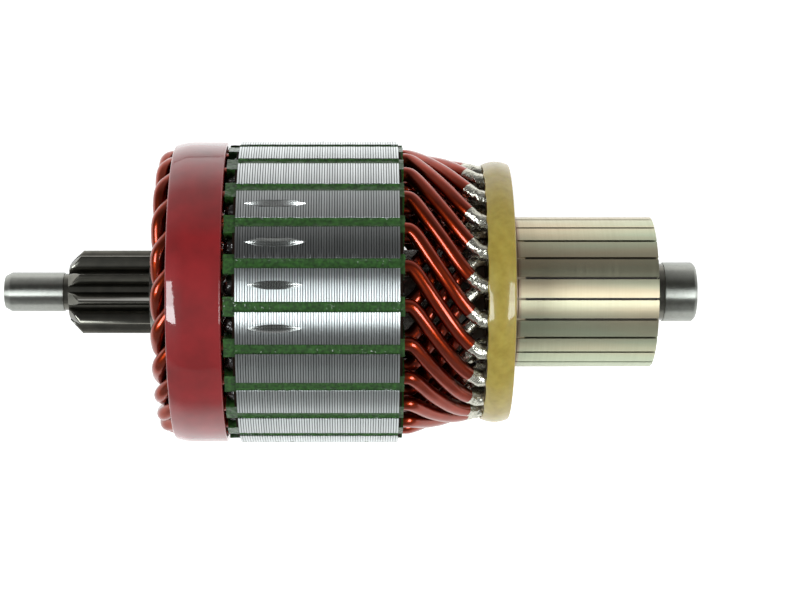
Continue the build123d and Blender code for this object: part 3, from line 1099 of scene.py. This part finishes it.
# %% Varnished slot paper
# Varnished fibre paper: short fibres in dark green, with a thin uneven gloss
slot_paper, tree, shader, place = start_finish(
    "varnished_slot_paper",
    {"Roughness": 0.6, "Specular IOR Level": 0.2, "Coat Weight": 0.6, "Coat Roughness": 0.06},
)
fibres = add_node(
    tree, "ShaderNodeTexNoise", {"Scale": per_mm(0.6), "Detail": 6.0}, {"Vector": place}
)
soaked = add_node(
    tree, "ShaderNodeMapRange", {"From Min": 0.2, "From Max": 0.8}, {"Value": fibres.outputs["Fac"]}
)
tint = add_node(
    tree,
    "ShaderNodeMix",
    {"data_type": "RGBA", 6: colour("#0c1c07"), 7: colour("#2f5a21")},
    {0: soaked.outputs[0]},
)
bump = add_node(
    tree,
    "ShaderNodeBump",
    {"Strength": 0.9, "Distance": 0.15 * MM},
    {"Height": fibres.outputs["Fac"]},
)
drops = add_node(
    tree, "ShaderNodeTexNoise", {"Scale": per_mm(1.1), "Detail": 2.0}, {"Vector": place}
)
coat_bump = add_node(
    tree,
    "ShaderNodeBump",
    {"Distance": 0.35 * MM},
    {"Height": drops.outputs["Fac"]},
)
tree.links.new(tint.outputs[2], shader.inputs["Base Color"])
tree.links.new(bump.outputs[0], shader.inputs["Normal"])
tree.links.new(coat_bump.outputs[0], shader.inputs["Coat Normal"])
print("finish:", slot_paper.name)

# %% Dry fibre sheet
# Vulcanised fibre: a dense sheet, near black and dull where no varnish reached it
dry_fibre, tree, shader, place = start_finish(
    "dry_fibre_sheet", {"Roughness": 0.8, "Specular IOR Level": 0.05}
)
cloud = add_node(
    tree, "ShaderNodeTexNoise", {"Scale": per_mm(1.5), "Detail": 4.0}, {"Vector": place}
)
tint = add_node(
    tree,
    "ShaderNodeMix",
    {"data_type": "RGBA", 6: colour("#150e0a"), 7: colour("#26180f")},
    {0: cloud.outputs["Fac"]},
)
tree.links.new(tint.outputs[2], shader.inputs["Base Color"])
for name in ("drive_end_insulator", "commutator_end_insulator"):
    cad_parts[name].data.materials.clear()
    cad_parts[name].data.materials.append(dry_fibre)
print("finish:", dry_fibre.name, "on both end sheets")

# %% Sections of a slot liner
PAPER_HALF = 1.88
PAPER_LOW = 22.32
PAPER_HIGH = 29.63
PAPER_WALL = (0.33, 0.68)  # of the sides, and of the two flaps on top
PAPER_SIDES = 5  # points along each side of the section
PAPER_WAVE = 0.12  # how far the free ends of the paper are bent
WAVE_SCALE = 0.9  # swells of the noise to a millimetre
# The noise has one value at a point, so each direction reads it at another place
WAVE_SHIFTS = (Vector((0, 0, 0)), Vector((31, 0, 0)), Vector((0, 47, 0)))
FLAP_HALF = 0.95
FLAP_PLACES = (-0.95, -0.87, -0.75, -0.4, 0, 0.4, 0.75, 0.87, 0.95)
FLAP_TOP = 29.98
FLAP_ROUGH = 0.14
FLAP_CLIMB = (0.3, 0.25)  # of the varnish up the slot's mouth, and how much that varies
FLAP_SINK = 0.05  # how far the flaps' strip starts inside the tube
FLAP_STEPS = 90
X_PAPER = (-90.6, -90.3, -89.9, -89.4, -88.9, -88.4, -72.0, -57.0, -56.5, -56.1)


def paper_section(half, low, high):
    """(across, up) round a tube of paper, with points along its sides that can bend."""
    corners = [(-half, low), (half, low), (half, high), (-half, high)]
    outline = []
    for (y0, z0), (y1, z1) in zip(corners, corners[1:] + corners[:1]):
        shares = [k / PAPER_SIDES for k in range(PAPER_SIDES)]
        outline += [(y0 + (y1 - y0) * share, z0 + (z1 - z0) * share) for share in shares]
    return outline


def wavy(x, y, z, turn, size):
    """A point of paper or varnish, turned to its place and moved a little, as it set."""
    point = turn @ Vector((x, y, z))
    wave = Vector([noise.noise(point * WAVE_SCALE + shift) for shift in WAVE_SHIFTS])
    return point + wave * size


def flap_top(x, y, number):
    """The rough face of the two flaps, where varnish climbs the sides of the slot's mouth."""
    # Every slot reads the noise at a place of its own, so no two flaps are alike. The
    # factors of x and y are swells to a millimetre.
    rough = noise.noise(Vector((x * 1.1, y * 1.6, number * 7.3)))
    usual, change = FLAP_CLIMB
    climb = usual + change * noise.noise(Vector((x * 0.7, y, number * 3.1)))
    return FLAP_TOP + FLAP_ROUGH * rough + climb * (abs(y) / FLAP_HALF) ** 6


print("points round a liner:", len(paper_section(PAPER_HALF, PAPER_LOW, PAPER_HIGH)))

# %% Fold a liner into every slot
liners = bmesh.new()
for number in range(SLOTS):
    turn = Matrix.Rotation(math.radians(slot_angle(number) - 90), 4, "X")
    side_wall, top_wall = PAPER_WALL
    outer = paper_section(PAPER_HALF, PAPER_LOW, PAPER_HIGH)
    inner = paper_section(PAPER_HALF - side_wall, PAPER_LOW + side_wall, PAPER_HIGH - top_wall)
    paper_rings = []
    for section, places in ((outer, X_PAPER), (inner, X_PAPER[::-1])):
        for x in places:
            free = PAPER_WAVE if x < X_CORE_BACK or x > X_CORE_FACE else 0.0
            paper_rings.append([wavy(x, y, z, turn, free) for y, z in section])
    tube = skin(paper_rings, loop=True)
    flap_rings = []
    foot = PAPER_HIGH - FLAP_SINK
    for k in range(FLAP_STEPS + 1):
        x = X_CORE_BACK + (X_CORE_FACE - X_CORE_BACK) * k / FLAP_STEPS
        top = [(y, flap_top(x, y, number)) for y in FLAP_PLACES]
        section = [(-FLAP_HALF, foot)] + top + [(FLAP_HALF, foot)]
        flap_rings.append([turn @ Vector((x, y, z)) for y, z in section])
    for one in (tube, skin(flap_rings, caps=True)):
        join_shape(liners, one)
print("faces of the liners:", len(liners.faces))
add_piece("slot_liners_folded", liners, [slot_paper], ["slot_liners"], sharp=50.0)

# %% [markdown]
# ## Varnish at the drive end
#
# The whole winding is soaked in varnish. Between two liners it sets in a glossy bead
# against the end sheet, which shows the lamps as small bright points. The bead's near-black
# colour is painted shade of the gap between the liners. Each bead is a skin over
# flat-sided ovals that shrink to its tip.

# %% Black baking varnish
# Baking varnish: it ran together in beads, with sharp lights on them. Their near-black
# colour is painted shade of the gaps between the liners
varnish, tree, shader, place = start_finish(
    "varnish_painted_shade_black",
    {"Roughness": 0.6, "Specular IOR Level": 0.2, "Coat Weight": 1.0, "Coat Roughness": 0.03},
)
cloud = add_node(
    tree, "ShaderNodeTexNoise", {"Scale": per_mm(1.5), "Detail": 4.0}, {"Vector": place}
)
# The near-black tint is painted shade of the gaps between the liners
tint = add_node(
    tree,
    "ShaderNodeMix",
    {"data_type": "RGBA", 6: colour("#050403"), 7: colour("#120d0a")},
    {0: cloud.outputs["Fac"]},
)
drops = add_node(
    tree, "ShaderNodeTexNoise", {"Scale": per_mm(1.0), "Detail": 1.0}, {"Vector": place}
)
coat_bump = add_node(
    tree,
    "ShaderNodeBump",
    {"Distance": 0.6 * MM},
    {"Height": drops.outputs["Fac"]},
)
tree.links.new(tint.outputs[2], shader.inputs["Base Color"])
tree.links.new(coat_bump.outputs[0], shader.inputs["Coat Normal"])
print("finish:", varnish.name)

# %% Beads between the liners
BEAD_HALF = 1.85  # half of a bead's width
BEAD_HEIGHT = 2.3  # half of its height
BEAD_MIDDLE = 26.6  # its radius on the armature
BEAD_LENGTH = 2.1
BEAD_FOOT = 0.4  # the end sheet lies between the core and the bead
BEAD_WAVE = 0.45  # how lumpy it is
BEAD_TIP = 2.4  # a higher power keeps it thick for longer, and then ends it more bluntly
BEAD_FLATTEN = 0.7  # a power under 1 gives the ovals flatter sides
BEAD_STEPS = 10
BEAD_SIDES = 24
beads = bmesh.new()
for number in range(SLOTS):
    turn = Matrix.Rotation(math.radians(tooth_angle(number) - 90), 4, "X")
    bead_rings = []
    for k in range(BEAD_STEPS + 1):
        share = k / BEAD_STEPS
        swell = math.sqrt(max(0.0, 1 - share**BEAD_TIP))
        x = X_CORE_BACK - BEAD_FOOT - BEAD_LENGTH * share
        section = []
        for j in range(BEAD_SIDES):
            angle = 2 * math.pi * j / BEAD_SIDES
            flattened = math.copysign(abs(math.cos(angle)) ** BEAD_FLATTEN, math.cos(angle))
            y = BEAD_HALF * flattened * swell
            z = BEAD_MIDDLE + BEAD_HEIGHT * swell * math.sin(angle)
            section.append(wavy(x, y, z, turn, BEAD_WAVE * swell))
        bead_rings.append(section)
    join_shape(beads, skin(bead_rings, caps=True))
print("faces of the beads:", len(beads.faces))
add_piece("drive_end_varnish", beads, [varnish], [], sharp=60.0)

# %% [markdown]
# ## Bands
#
# Glass yarn soaked in resin is wound round the bends and the risers and then cured, so
# the wires can't fly out at speed. The resin sets with a slightly crowned, glossy face.
# Each band is turned from a section whose top bulges a little.

# %% Red glass and resin
# Polyester resin on glass, red: a smooth gloss over a faintly clouded colour. The yarn
# under it shows only as a slight ripple, half a millimetre apart.
red_resin, tree, shader, place = start_finish(
    "red_glass_resin_band",
    {"Roughness": 0.5, "Specular IOR Level": 0.2, "Coat Weight": 1.0, "Coat Roughness": 0.05},
)
cloud = add_node(
    tree, "ShaderNodeTexNoise", {"Scale": per_mm(6.0), "Detail": 5.0}, {"Vector": place}
)
tint = add_node(
    tree,
    "ShaderNodeMix",
    {"data_type": "RGBA", 6: colour("#540d0e"), 7: colour("#921b1f")},
    {0: cloud.outputs["Fac"]},
)
along = add_node(
    tree,
    "ShaderNodeVectorMath",
    {"operation": "MULTIPLY", 1: (per_mm(0.5), per_mm(RING_LENGTH), per_mm(RING_LENGTH))},
    {0: place},
)
yarn = add_node(
    tree, "ShaderNodeTexNoise", {"Scale": 1.0, "Detail": 3.0}, {"Vector": along.outputs[0]}
)
bump = add_node(
    tree,
    "ShaderNodeBump",
    {"Strength": 0.15, "Distance": 0.05 * MM},
    {"Height": yarn.outputs["Fac"]},
)
peel = add_node(
    tree, "ShaderNodeTexNoise", {"Scale": per_mm(0.7), "Detail": 3.0}, {"Vector": place}
)
coat_bump = add_node(
    tree,
    "ShaderNodeBump",
    {"Strength": 0.35, "Distance": 0.03 * MM},
    {"Height": peel.outputs["Fac"]},
)
tree.links.new(tint.outputs[2], shader.inputs["Base Color"])
tree.links.new(bump.outputs[0], shader.inputs["Normal"])
tree.links.new(coat_bump.outputs[0], shader.inputs["Coat Normal"])
print("finish:", red_resin.name)

# %% Yellow glass and resin
# Epoxy resin on glass, undyed: a cloudy yellow olive with a soft wet gloss, and a little
# light that passes through its thin edges
yellow_resin, tree, shader, place = start_finish(
    "yellow_glass_resin_band",
    {
        "Roughness": 0.4,
        "Specular IOR Level": 0.2,
        "Coat Weight": 0.5,
        "Coat Roughness": 0.08,
        "Subsurface Weight": 0.15,
        "Subsurface Scale": 1.0 * MM,
    },
)
cloud = add_node(
    tree, "ShaderNodeTexNoise", {"Scale": per_mm(1.6), "Detail": 5.0}, {"Vector": place}
)
tint = add_node(
    tree,
    "ShaderNodeMix",
    {"data_type": "RGBA", 6: colour("#7e6a28"), 7: colour("#a89646")},
    {0: cloud.outputs["Fac"]},
)
tree.links.new(tint.outputs[2], shader.inputs["Base Color"])
print("finish:", yellow_resin.name)

# %% Section of a band
BAND_STEPS = 12
BAND_CORNER_STEPS = 5
SKIN_DEPTH = 0.2  # faces nearer to the bore than this stay true
CREEP_DEPTH = 0.3  # how much of a band's length can creep
CREEP_SPREAD = 2.4  # degrees to each side of a lead
CROWN_CURVE = 1.9  # powers that shape the crown and the shoulder
SHOULDER_CURVE = 1.5
WANDER_SCALE = 0.18  # swells of the noise to a millimetre


def band_section(x_low, x_high, bore, radius, corner, crown, shoulder):
    """(x, radius) of a band from bore to bore, with a crown and a shoulder at its low end."""
    middle = (x_low + x_high) / 2
    half = (x_high - x_low) / 2
    length, depth = shoulder
    top = []
    for k in range(BAND_STEPS + 1):
        x = x_low + (x_high - x_low) * k / BAND_STEPS
        fall = crown * abs((x - middle) / half) ** CROWN_CURVE
        if x - x_low < length:
            fall += depth * ((length - x + x_low) / length) ** SHOULDER_CURVE
        top.append((x, radius - fall))
    low_end = [(x_low, bore), top[0], top[1]]
    high_end = [top[-2], top[-1], (x_high, bore)]
    ends = rounded(low_end, corner, BAND_CORNER_STEPS, closed=False)[:-1]
    other_ends = rounded(high_end, corner, BAND_CORNER_STEPS, closed=False)[1:]
    return ends + top[1:-1] + other_ends


def band_shape(section, wander, creep):
    """A band whose face wanders a little, and whose low end creeps out along the leads."""
    x_low, bore = section[0]
    rows = []
    for x, radius in section:
        row = []
        for degrees in range(360):
            shift = 0
            if radius > bore + SKIN_DEPTH:
                shift = wander * noise.noise(at(x, radius, degrees) * WANDER_SCALE)
            off = (degrees - riser_angle(0) + PITCH / 2) % PITCH - PITCH / 2
            reach = 0
            if x < x_low + CREEP_DEPTH:
                reach = creep * math.exp(-((off / CREEP_SPREAD) ** 2))
            row.append(at(x - reach, radius - abs(shift), degrees))
        rows.append(row)
    return skin(rows, loop=True)


# %% Wind the red band
red_section = band_section(
    x_low=-101.6,
    x_high=-91.0,
    bore=28.9,
    radius=30.45,
    corner=0.5,
    crown=0.06,
    shoulder=(3.2, 0.6),
)
red_band = band_shape(red_section, wander=0.04, creep=0.0)
print("points on the red band's section:", len(red_section))
add_piece(
    "drive_end_band_moulded", red_band, [red_resin], ["drive_end_band"], sharp=60.0
)

# %% Wind the yellow band
yellow_section = band_section(
    x_low=X_RISER_BACK,
    x_high=X_RISER_FACE,
    bore=25.45,
    radius=26.45,
    corner=0.3,
    crown=0.62,
    shoulder=(0.5, 0.0),
)
yellow_band = band_shape(yellow_section, wander=0.03, creep=0.18)
print("points on the yellow band's section:", len(yellow_section))
add_piece(
    "riser_band_moulded", yellow_band, [yellow_resin], ["riser_band"], sharp=60.0
)

# %% [markdown]
# ## Table
#
# The ground is pure white, with no shadow. A light table gives that, so the
# floor glows a little by itself. Bright metal shows the table in its lower half, and is
# darker there, so in front of the armature, out of the picture, the table is grey: painted
# shade. Behind the armature it glows more, which gives the pale rims at the top. One floor
# whose colour and glow go by its depth does all three.

# %% White light table
Y_SHADE = (-50, -82)  # from white to grey, in front of the armature
Y_GLOW = (50, 130)  # from the usual glow to a stronger one, behind it
GLOW = (0.47, 0.9)  # strength of the two
table_top, tree, shader, place = start_finish("white_light_table", {"Roughness": 0.9})
cloud = add_node(
    tree, "ShaderNodeTexNoise", {"Scale": per_mm(60), "Detail": 3.0}, {"Vector": place}
)
tint = add_node(
    tree,
    "ShaderNodeMix",
    {"data_type": "RGBA", 6: colour("#f6f6f5"), 7: colour("#fbfbfa")},
    {0: cloud.outputs["Fac"]},
)
parts = add_node(tree, "ShaderNodeSeparateXYZ", {}, {0: place})
# The mask of the painted shade in front of the armature
in_shade = add_node(
    tree,
    "ShaderNodeMapRange",
    {
        "interpolation_type": "SMOOTHSTEP",
        "From Min": Y_SHADE[0] * MM,
        "From Max": Y_SHADE[1] * MM,
    },
    {"Value": parts.outputs["Y"]},
)
glow = add_node(
    tree,
    "ShaderNodeMapRange",
    {
        "From Min": Y_GLOW[0] * MM,
        "From Max": Y_GLOW[1] * MM,
        "To Min": GLOW[0],
        "To Max": GLOW[1],
    },
    {"Value": parts.outputs["Y"]},
)
tree.links.new(glow.outputs[0], shader.inputs["Emission Strength"])
# Painted shade: the table's colour and glow turn grey in front of the armature, out of the picture
shaded = add_node(
    tree,
    "ShaderNodeMix",
    {"data_type": "RGBA", 7: colour("#868685")},
    {0: in_shade.outputs[0], 6: tint.outputs[2]},
)
tree.links.new(shaded.outputs[2], shader.inputs["Base Color"])
tree.links.new(shaded.outputs[2], shader.inputs["Emission Color"])
print("finish:", table_top.name)

# %% Lay the floor under the core
FLOOR_GAP = 0.1
FLOOR_SIZE = 6  # metres
bpy.ops.mesh.primitive_grid_add(x_subdivisions=4, y_subdivisions=4, size=FLOOR_SIZE)
floor = bpy.context.object
floor.name = "floor"
floor.location.z = -(CORE_RADIUS + FLOOR_GAP) * MM
floor.data.materials.append(table_top)
print("height of the floor in mm:", round(floor.location.z / MM, 2))

# %% [markdown]
# ## Lamps and room
#
# A round piece shows a lamp as a bright line along it, and the angle of the lamp about the
# shaft says where that line lies. Two soft boxes stand to the left and the right of the
# view, with their edges parallel to the shaft, so the turned steel shows a bright stripe
# with straight edges. Each box is built of four strips, and the higher a strip lies, the
# further out is its inner end. The glossy red band shows that as a patch that widens
# downward. The room fills in the tones between: dim in front and overhead, and a pale wall
# behind the table.

# %% Soft boxes
LAMP_REACH = 0.77  # metres from the shaft's line to each soft box
LAMP_COLOUR = (0.93, 0.98, 1.0)
BOX_END = 0.89  # metres along the shaft from the view's middle to the outer end
# From and to (degrees above the table), inner end along the shaft (metres), and radiance
BOX_STRIPS = (
    (30.8, 38, 0.36, 16),
    (38, 45, 0.39, 16),
    (45, 55, 0.43, 12),
    (55, 64.5, 0.47, 12),
)


def soft_lamp(name, along, width, low, high, radiance):
    """A soft box that faces the shaft's line, between two angles above the table in front."""
    middle = math.radians((low + high) / 2)
    data = bpy.data.lights.new(name, "AREA")
    data.shape = "RECTANGLE"
    data.size = width
    data.size_y = 2 * LAMP_REACH * math.tan(math.radians(high - low) / 2)
    data.energy = radiance * math.pi * data.size * data.size_y
    data.color = LAMP_COLOUR
    lamp = bpy.data.objects.new(name, data)
    towards = Vector((0, -math.cos(middle), math.sin(middle)))
    lamp.location = Vector((VIEW_FOOT * MM + along, 0, 0)) + towards * LAMP_REACH
    lamp.rotation_euler = (math.pi / 2 - middle, 0, 0)
    bpy.context.scene.collection.objects.link(lamp)


for side, name in ((-1, "left"), (1, "right")):
    for number, (low, high, inner, radiance) in enumerate(BOX_STRIPS, 1):
        along = side * (inner + BOX_END) / 2
        width = BOX_END - inner
        soft_lamp(f"{name}_box_{number}", along, width, low, high, radiance)
print("strips in each soft box:", len(BOX_STRIPS))

# %% Tones of the room
# Degrees about the shaft, from 0 in front over 90 overhead to 180 behind, and the tone
ROOM_TONES = ((0, 0.25), (60, 0.13), (98, 0.1), (118, 0.43), (140, 0.6), (158, 1.5), (172, 1.9))
world = bpy.data.worlds.new("studio")
world.use_nodes = True
tree = world.node_tree
direction = add_node(tree, "ShaderNodeTexCoord").outputs["Generated"]
parts = add_node(tree, "ShaderNodeSeparateXYZ", {}, {0: direction})
forward = add_node(
    tree, "ShaderNodeMath", {"operation": "MULTIPLY", 1: -1.0}, {0: parts.outputs["Y"]}
)
turn = add_node(
    tree,
    "ShaderNodeMath",
    {"operation": "ARCTAN2"},
    {0: parts.outputs["Z"], 1: forward.outputs[0]},
)
share = add_node(tree, "ShaderNodeMapRange", {"From Max": math.pi}, {"Value": turn.outputs[0]})
room = add_node(tree, "ShaderNodeValToRGB", {}, {"Fac": share.outputs[0]})
while len(room.color_ramp.elements) < len(ROOM_TONES):
    room.color_ramp.elements.new(0.5)
for stop, (degrees, tone) in zip(room.color_ramp.elements, ROOM_TONES):
    stop.position = degrees / 180
    stop.color = (tone, tone, tone, 1)
tree.links.new(room.outputs["Color"], tree.nodes["Background"].inputs["Color"])
bpy.context.scene.world = world
bpy.context.scene.view_settings.view_transform = "Standard"
print("tones of the room:", len(ROOM_TONES))
